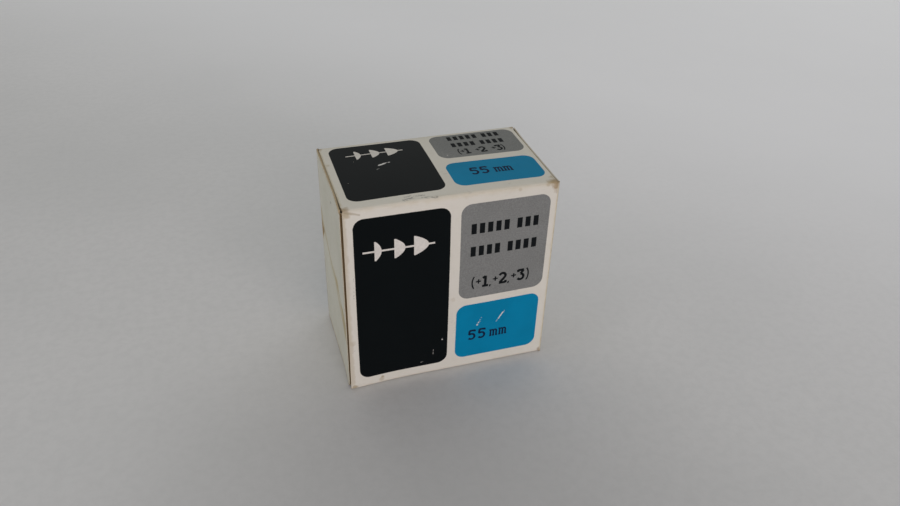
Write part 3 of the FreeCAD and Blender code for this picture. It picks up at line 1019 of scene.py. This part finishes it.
FACE_MAP = {
    "front": lambda a, b: (a, -HALF_D, b),
    "back": lambda a, b: (-a, HALF_D, b),
    "top": lambda a, b: (a, b, HEIGHT),
    "bottom": lambda a, b: (a, -b, 0.0),
}


def ribbon_mesh(name, ribbons, at, material):
    """Flat strips; at turns a point of a ribbon into its place on the object."""
    points = []
    faces = []
    for edges in ribbons:
        first = len(points)
        points += [at(*corner) for pair in edges for corner in pair]
        for index in range(len(edges) - 1):
            corner = first + 2 * index
            faces.append((corner, corner + 1, corner + 3, corner + 2))
    return mesh_from(name, points, faces, [0] * len(faces), [material])


def print_marks(name, face, ribbons, material, lift=0.02):
    """Ink marks that lie on the printed board."""
    def at(a, b):
        return on_panel(face, *FACE_MAP[face](a, b), lift=lift)

    piece = ribbon_mesh(name, ribbons, at, material)
    outward = Vector(OUTWARD[face])
    for polygon in piece.data.polygons:
        if polygon.normal.dot(outward) < 0:
            polygon.flip()
    return adopt(piece, "carton", "board")


def lens_diagram(left, right, base, height):
    """Three lenses of growing power on one axis: a plain picture of the contents."""
    ribbons = [ribbon([(left, base + height / 2), (right, base + height / 2)], height * 0.09)]
    for share, width in ((0.20, 0.26), (0.50, 0.44), (0.80, 0.62)):
        centre = left + (right - left) * share
        ribbons.append(lens_section(centre, base, height, width * height))
    return ribbons


def greeked_lines(left, height, width, gap, rows):
    """Plain blocks where a title would stand: rows of (base, blocks in each word)."""
    ribbons = []
    for base, words in rows:
        pen = left
        for blocks in words:
            for _ in range(blocks):
                ribbons.append(bar(pen, pen + width, base, height))
                pen += width + gap
            pen += 1.6 * gap
    return ribbons


def mark_panel(face, diagram, title, powers, size, unit):
    """All the marks of one panel; title is rows of blocks, the rest are lines to fill."""
    print_marks(face + "_mark_diagram", face, lens_diagram(*diagram), mark_white)
    print_marks(face + "_mark_title", face, greeked_lines(*title), mark_black)
    print_marks(face + "_mark_powers", face, fitted(*powers), mark_black)
    print_marks(face + "_mark_size", face, fitted("55", *size) + fitted("mm", *unit), mark_navy)


for broad_face in ("front", "back"):
    mark_panel(broad_face,
               diagram=(-29.0, -6.0, 51.2, 7.0),
               title=(5.9, 3.7, 1.75, 1.02, [(55.6, (5, 3)), (47.2, (4, 4))]),
               powers=("(+1,+2,+3)", 6.4, 27.4, 34.5, 4.4, 0.92),
               size=(6.4, 12.9, 11.9, 4.4, 0.78),
               unit=(14.2, 20.8, 12.0, 4.6, 0.62))
for narrow_face in ("top", "bottom"):
    mark_panel(narrow_face,
               diagram=(-26.8, -7.6, 9.6, 5.6),
               title=(9.1, 2.9, 1.45, 0.80, [(14.9, (5, 3)), (9.8, (4, 4))]),
               powers=("(+1 +2 +3)", 9.6, 26.6, 4.3, 3.7, 0.75),
               size=(9.3, 15.6, -10.1, 4.4, 0.78),
               unit=(17.2, 23.6, -10.0, 4.6, 0.60))


# ---------------------------------------------------------------- contents

case_low, case_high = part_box("case_base")
AXIS_X = (case_low.x + case_high.x) / 2 / MM
AXIS_Z = (case_low.z + case_high.z) / 2 / MM
CASE_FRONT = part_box("case_lid")[0].y / MM
CASE_RADIUS = 32.5
CASE_CORNER = 4.0
CASE_RIBS = (120, 0.30)
LENS_RIBS = (160, 0.42)
THREAD_PITCH = 0.75
FIRST_LENS = 4.3
LENS_PITCH = 7.4
GLASS_RADIUS = 26.6
ONE_DIOPTRE_RADIUS = 523.0


def lathe(name, profile, material, closed=True, sharp=28):
    """Turned piece on the lens axis. Profile points are (radius, back from the case front)
    or (radius, back, ribs, depth) where the surface carries fine ribs."""
    turns = 480 if any(len(spot) > 2 for spot in profile) else 160
    points = []
    faces = []
    rows = []
    for spot in profile:
        radius, back = spot[:2]
        ribs, depth = spot[2:] or (0, 0.0)
        if radius < 1e-6:
            rows.append([len(points)])
            points.append((AXIS_X, CASE_FRONT + back, AXIS_Z))
            continue
        start = len(points)
        for number in range(turns):
            turn = 2 * math.pi * number / turns
            reach = radius - depth * (0.5 - 0.5 * math.cos(ribs * turn)) ** 2
            points.append((AXIS_X + reach * math.cos(turn), CASE_FRONT + back,
                           AXIS_Z + reach * math.sin(turn)))
        rows.append(list(range(start, start + turns)))
    pairs = list(zip(rows, rows[1:]))
    if closed:
        pairs.append((rows[-1], rows[0]))
    for one, other in pairs:
        for number in range(turns):
            following = (number + 1) % turns
            if len(one) == 1:
                faces.append((one[0], other[following], other[number]))
            elif len(other) == 1:
                faces.append((one[number], one[following], other[0]))
            else:
                faces.append((one[number], one[following], other[following], other[number]))
    piece = face_outwards(mesh_from(name, points, faces, [0] * len(faces), [material]))
    piece.data.set_sharp_from_angle(angle=math.radians(sharp))
    return piece


def quarter(centre, size, start, end, count):
    """Quarter round of a lathe profile: angles from straight out towards the back."""
    return [(centre[0] + size * math.cos(turn), centre[1] + size * math.sin(turn))
            for turn in np.linspace(math.radians(start), math.radians(end), count)]


def anodised(name):
    graph = Graph(name)
    fine = graph.cloud(0.3, 3.0, 0.7, stretch=(1.0, 6.0, 1.0))
    wide = graph.cloud(6.0, 3.0)
    tone = graph.mix(graph.step(wide, 0.35, 0.7), (0.012, 0.012, 0.013), (0.022, 0.022, 0.023))
    roughness = graph.blend_values(graph.step(fine, 0.3, 0.7), 0.34, 0.48)
    return graph.finish(tone, roughness, graph.bump(fine, 0.25, 0.02), Metallic=0.6)


def moulded_black(name):
    graph = Graph(name)
    pebble = graph.cells(0.55)
    wide = graph.cloud(9.0, 3.0)
    tone = graph.mix(graph.step(wide, 0.3, 0.7), (0.012, 0.012, 0.013), (0.020, 0.020, 0.021))
    return graph.finish(tone, graph.blend_values(graph.step(wide, 0.3, 0.7), 0.40, 0.52),
                        graph.bump(pebble, 0.35, 0.04))


def clear_plastic(name):
    graph = Graph(name)
    hair = graph.cloud(0.8, 2.0, stretch=(0.4, 3.0, 2.0))
    roughness = graph.blend_values(graph.step(hair, 0.62, 0.75), 0.015, 0.09)
    return graph.finish((0.97, 0.975, 0.97), roughness, Transmission_Weight=1.0, IOR=1.45)


def coated_glass(name, tint):
    graph = Graph(name)
    haze = graph.cloud(5.0, 3.0)
    roughness = graph.blend_values(graph.step(haze, 0.5, 0.8), 0.0, 0.03)
    return graph.finish((0.985, 0.99, 0.99), roughness, Transmission_Weight=1.0, IOR=1.52,
                        Specular_Tint=tint + (1.0,), Coat_Weight=0.3, Coat_Roughness=0.02)


def foam_rubber(name):
    graph = Graph(name)
    pores = graph.cells(0.45)
    wide = graph.cloud(5.0, 3.0)
    tone = graph.mix(graph.step(pores, 0.35, 0.10), (0.050, 0.050, 0.054), (0.016, 0.016, 0.018))
    tone = graph.mix(graph.step(wide, 0.4, 0.7) * 0.4, tone, (0.075, 0.074, 0.076))
    return graph.finish(tone, 0.95, graph.bump(pores, 0.8, 0.15), Specular_IOR_Level=0.15)


def leaflet_paper(name):
    graph = Graph(name)
    x, _, z = graph.axes
    fibre = graph.cloud(0.5, 4.0, 0.7)
    wide = graph.cloud(10.0, 3.0)
    tone = graph.mix(graph.step(wide, 0.3, 0.7), (0.74, 0.73, 0.68), (0.66, 0.64, 0.56))
    rows = graph.math("FRACT", z * (1 / 2.6))
    inked = graph.step(rows, 0.3, 0.34) * graph.step(rows, 0.62, 0.58)
    words = graph.cloud(3.0, 0.0, stretch=(1.0, 0.1, 0.02))
    inked = inked * graph.step(words, 0.43, 0.45)
    inked = inked * graph.step(abs(z - 32.5), 27.5, 27.3)
    inside = graph.step(x, -28.5, -28.3) * graph.step(x, 18.4, 18.2)
    tone = graph.mix(inked * inside * 0.75, tone, (0.16, 0.16, 0.17))
    return graph.finish(tone, 0.75, graph.bump(fibre, 0.3, 0.03), Specular_IOR_Level=0.25)


def dried_glue(name):
    graph = Graph(name)
    blotch = graph.cloud(3.0, 3.0)
    tone = graph.mix(blotch, (0.62, 0.50, 0.28), (0.74, 0.66, 0.45))
    return graph.finish(tone, 0.35, graph.bump(blotch, 0.3, 0.03))


metal = anodised("anodised_black")
black_plastic = moulded_black("moulded_black")
clear = clear_plastic("clear_plastic")
foam = foam_rubber("foam_rubber")
paper = leaflet_paper("leaflet_paper")
glue = dried_glue("dried_glue")
ring_white = flat_ink("ring_white", (0.62, 0.62, 0.60))


def make_case():
    """Clear lid and dark base; the base's collar stands inside the lid."""
    wall = CASE_RADIUS
    lid = [(0.0, 0.0), (28.0, 0.0)]
    lid += quarter((wall - CASE_CORNER, CASE_CORNER), CASE_CORNER, -90, 0, 9)
    lid += [(wall, 12.4), (wall, 12.6, *CASE_RIBS), (wall, 19.4, *CASE_RIBS),
            (wall - 0.2, 19.8), (wall - 0.4, 20.0), (31.2, 20.0), (31.0, 19.8), (31.0, 3.6)]
    lid += quarter((29.0, 3.6), 2.0, 0, -90, 6)
    lid += [(0.0, 1.6)]
    adopt(lathe("case_lid_clear", lid, clear, closed=False), "case_lid", "case_clear",
          "case_lid")

    base = [(0.0, 32.4), (28.6, 32.4), (29.1, 31.9), (29.1, 8.2), (29.3, 8.0), (30.7, 8.0),
            (30.92, 8.2), (30.92, 20.3), (wall - 0.2, 20.3), (wall, 20.5),
            (wall, 20.7, *CASE_RIBS), (wall, 28.5, *CASE_RIBS), (wall, 28.7)]
    base += quarter((wall - CASE_CORNER, 30.0), CASE_CORNER, 0, 90, 9)
    base += [(25.2, 34.0), (25.0, 33.7), (24.2, 33.7), (24.0, 34.0), (0.0, 34.0)]
    adopt(lathe("case_base_cup", base, black_plastic, closed=False), "case", "case_dark",
          "case_base")


def make_pads():
    front = [(22.0, 1.95), (22.3, 1.65), (28.1, 1.65), (28.4, 1.95), (28.4, 3.85),
             (28.1, 4.15), (22.3, 4.15), (22.0, 3.85)]
    adopt(lathe("case_pad_ring", front, foam), "case_lid", "foam", "case_pad_front")
    rear = [(0.0, 29.35), (28.4, 29.35), (29.0, 29.95), (29.0, 31.85), (28.5, 32.35),
            (0.0, 32.35)]
    adopt(lathe("case_pad_disc", rear, foam, closed=False), "case", "foam", "case_pad_rear")


def thread_rows(crest, root, start, end):
    """Crest and root of thread ridges between two places along the axis."""
    rows = []
    count = int(abs(end - start) / THREAD_PITCH)
    step = math.copysign(THREAD_PITCH, end - start)
    for number in range(count):
        base = start + step * number
        rows += [(root, base), (crest, base + step * 0.35), (crest, base + step * 0.5),
                 (root, base + step * 0.85)]
    return rows


def make_lens(power, start):
    """One close-up lens: ring with knurl and threads, glass, and retaining ring."""
    body = "lens_plus%d" % power
    ring = [(27.85, 0.0), (28.6, 0.0), (28.95, 0.35), (28.95, 1.3), (28.45, 1.5), (28.45, 1.8)]
    ring += [(28.98, 2.0), (28.98, 2.1, *LENS_RIBS), (28.98, 5.2, *LENS_RIBS), (28.98, 5.3)]
    ring += [(28.45, 5.5), (28.45, 6.0), (28.95, 6.2), (28.95, 6.95), (28.6, 7.3), (27.0, 7.3)]
    ring += thread_rows(27.36, 27.02, 7.45, 9.9)
    ring += [(26.9, 10.1), (25.2, 10.1), (25.2, 8.0), (26.9, 8.0), (26.9, 3.2)]
    ring += thread_rows(27.47, 27.80, 3.1, 0.4)
    profile = [(spot[0], spot[1] + start, *spot[2:]) for spot in ring]
    adopt(lathe(body + "_mount", profile, metal, sharp=35), body, "black_metal",
          body + "_ring")

    front_radius = ONE_DIOPTRE_RADIUS / power

    def sag(radius):
        return front_radius - math.sqrt(front_radius ** 2 - radius ** 2)

    rear = start + 7.95
    apex = rear - 2.4 - sag(GLASS_RADIUS)
    glass = [(radius, apex + sag(radius)) for radius in np.linspace(0.0, 26.35, 22)]
    glass += [(GLASS_RADIUS, rear - 2.15), (GLASS_RADIUS, rear - 0.25), (26.35, rear)]
    glass += [(radius, rear) for radius in np.linspace(22.0, 0.0, 8)]
    tint = ((0.75, 0.62, 1.0), (0.66, 0.80, 1.0), (0.80, 0.70, 1.0))[power - 1]
    adopt(lathe(body + "_element", glass, coated_glass(body + "_coating", tint),
                closed=False, sharp=40), body, "glass", body + "_glass")

    retainer = [(25.35, 0.0), (25.2, 0.15), (25.2, 1.05), (25.35, 1.2), (26.7, 1.2),
                (26.82, 1.05), (26.82, 0.15), (26.7, 0.0), (26.3, 0.0), (26.2, 0.12),
                (25.9, 0.12), (25.8, 0.0)]
    profile = [(radius, back + start + 3.2) for radius, back in retainer]
    adopt(lathe(body + "_retaining_ring", profile, metal, sharp=30), body, "black_metal",
          body + "_retainer")

    def on_rim(across, radius):
        turn = math.pi / 2 - across / radius
        return (AXIS_X + radius * math.cos(turn), CASE_FRONT + start - 0.02,
                AXIS_Z + radius * math.sin(turn))

    numeral = glyph_ribbons("+%d" % power, -0.9, 28.02, 0.66, 0.11, 0.12)
    adopt(ribbon_mesh(body + "_numeral", numeral, on_rim, ring_white), body, "black_metal")


def make_leaflet():
    """One sheet folded into three leaves, seen on edge as a flat S."""
    left, right = -32.4, 22.4
    low, height = 1.05, 62.9
    gap, inset = 0.36, 0.2
    levels = [18.66 + gap * leaf for leaf in range(3)]
    path = []
    for index, depth in enumerate(levels):
        forward = index % 2 == 0
        start, end = (left, right) if forward else (right, left)
        begin = start + (inset if forward else -inset) * (1 if index else 0)
        finish = end - (inset if forward else -inset) * (1 if index < 2 else 0)
        for share in np.linspace(0, 1, 28):
            x = begin + (finish - begin) * share
            sag = 0.03 * math.sin(share * math.pi) * (1 if forward else -1)
            path.append((x, depth + sag))
        if index < 2:
            side = 1.0 if forward else -1.0
            for turn in np.linspace(-math.pi / 2, math.pi / 2, 7)[1:-1]:
                path.append((finish + side * gap / 2 * math.cos(turn),
                             depth + gap / 2 + gap / 2 * math.sin(turn)))
    flat = np.array(path)
    run = np.gradient(flat, axis=0)
    run /= np.linalg.norm(run, axis=1)[:, None]
    across = np.stack([-run[:, 1], run[:, 0]], axis=1)
    rows = 26
    outer = np.zeros((len(path), rows, 3))
    inward = np.zeros_like(outer)
    for index, (spot, side) in enumerate(zip(flat, across)):
        for row in range(rows):
            z = low + height * row / (rows - 1)
            outer[index, row] = (spot[0], spot[1], z)
            inward[index, row] = (side[0], side[1], 0.0)
    piece = sheet("leaflet_sheet", outer, inward, 0.10, [paper, paper, paper])
    adopt(piece, "carton", "paper", "instruction_leaflet")


make_case()
make_pads()
for order, dioptre in enumerate((1, 2, 3)):
    make_lens(dioptre, FIRST_LENS + LENS_PITCH * order)
make_leaflet()

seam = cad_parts["glue_seam"]
seam.data.materials.clear()
seam.data.materials.append(glue)


# ---------------------------------------------------------------- stage

FLOOR_CREASES = [
    ((30.0, 118.0), (52.0, 330.0), 16.0, 0.30),
    ((-60.0, 300.0), (-30.0, 190.0), 24.0, 0.15),
]


def floor_material():
    graph = Graph("floor_paper")
    x, y, _ = graph.axes
    fibre = graph.cloud(1.6, 4.0, 0.6)
    wide = graph.cloud(120.0, 3.0)
    tone = graph.mix(graph.step(wide, 0.3, 0.7), (0.69, 0.69, 0.685), (0.74, 0.735, 0.73))
    speck = graph.cloud(3.2, 4.0, 0.6)
    tone = graph.mix(graph.step(speck, 0.35, 0.7) * 0.35, tone, (0.63, 0.63, 0.625))
    # Painted shadow: the floor is darker in a broad soft patch in front of the carton.
    shadow_dx = (x + 20.0) * 1.1
    shadow_dy = y + 105.0
    away = graph.length(shadow_dx, shadow_dy)
    tone = graph.mix(graph.step(away, 150.0, 20.0) * 0.56, tone, (0.40, 0.40, 0.395))
    # Painted light: the floor grows lighter towards the far right, where more light falls.
    far_painted_light = graph.step(x * 1.1 + y, -20.0, 420.0)
    tone = graph.mix(far_painted_light * 0.95, tone, (0.96, 0.96, 0.975))
    tone = graph.mix(graph.step(graph.length(x, y), 500.0, 1600.0), tone, (0.96, 0.96, 0.96))
    creases = graph.cloud(42.0, 3.0, 0.45, stretch=(1.0, 0.6, 1.0))
    for start, end, width, depth in FLOOR_CREASES:
        line = graph.step(graph.segment(x, y, start, end), width, 0.0)
        creases = creases - line * depth
    relief = fibre * 0.035 + creases
    return graph.finish(tone, 0.7, graph.bump(relief, 0.55, 2.2), Specular_IOR_Level=0.25)


def make_floor():
    """Wide sheet that dips slightly away from the carton and never rises above its foot."""
    count = 60
    reach = 9000
    points = []
    faces = []
    for row in range(count + 1):
        for column in range(count + 1):
            x = reach * (2 * column / count - 1)
            y = reach * (2 * row / count - 1)
            away = max(0.0, math.hypot(x, y) - 120.0)
            rise = 0.5 * wobble(x, y, 0, 260.0, 2.0) * min(1.0, away / 200.0)
            points.append((x, y, -0.02 + min(0.0, rise)))
    for row in range(count):
        for column in range(count):
            corner = row * (count + 1) + column
            faces.append((corner, corner + 1, corner + count + 2, corner + count + 1))
    floor = mesh_from("floor", points, faces, [0] * len(faces), [floor_material()])


def area_light(name, place, target, size, power, colour):
    data = bpy.data.lights.new(name, "AREA")
    data.shape = "RECTANGLE"
    data.size, data.size_y = size
    data.energy = power
    data.color = colour
    lamp = bpy.data.objects.new(name, data)
    bpy.context.scene.collection.objects.link(lamp)
    lamp.location = Vector(place)
    lamp.rotation_mode = "QUATERNION"
    lamp.rotation_quaternion = (Vector(target) - Vector(place)).to_track_quat("-Z", "Y")
    return lamp


def make_light():
    world = bpy.data.worlds.new("soft_room")
    bpy.context.scene.world = world
    world.use_nodes = True
    background = world.node_tree.nodes["Background"]
    background.inputs[0].default_value = (0.99, 1.0, 0.985, 1.0)
    background.inputs[1].default_value = 0.34
    area_light("window", (-0.05, -1.3, 0.36), (0, 0, 0.03), (1.2, 0.6), 7.6, (1.0, 0.915, 0.97))
    area_light("sky", (0.5, 1.5, 1.7), (0, 0, 0), (3.0, 2.2), 8.0, (0.98, 1.0, 0.98))
    area_light("corner", (0.52, 0.32, 0.35), (0.52, 0.32, 0), (0.2, 0.2), 0.13, (1.0, 1.0, 1.0))
    area_light("side", (-1.3, 0.1, 0.5), (0, 0, 0.03), (1.0, 0.8), 1.3, (1.0, 1.0, 0.95))


def make_camera():
    """Seen from the front, a little left, and well above the carton."""
    data = bpy.data.cameras.new("camera")
    camera = bpy.data.objects.new("camera", data)
    bpy.context.scene.collection.objects.link(camera)
    place = Vector((-66.88, -218.46, 192.84)) * MM
    target = Vector((6.09, 0.0, 34.615)) * MM
    roll = Quaternion((0.0, 0.0, 1.0), math.radians(1.789))
    camera.location = place
    camera.rotation_mode = "QUATERNION"
    camera.rotation_quaternion = (target - place).to_track_quat("-Z", "Y") @ roll
    data.sensor_width = 36.0
    data.lens = 31.85
    data.clip_start = 0.01
    data.clip_end = 20.0
    bpy.context.scene.camera = camera


make_floor()
make_light()
make_camera()
bpy.context.scene.view_settings.view_transform = "Standard"
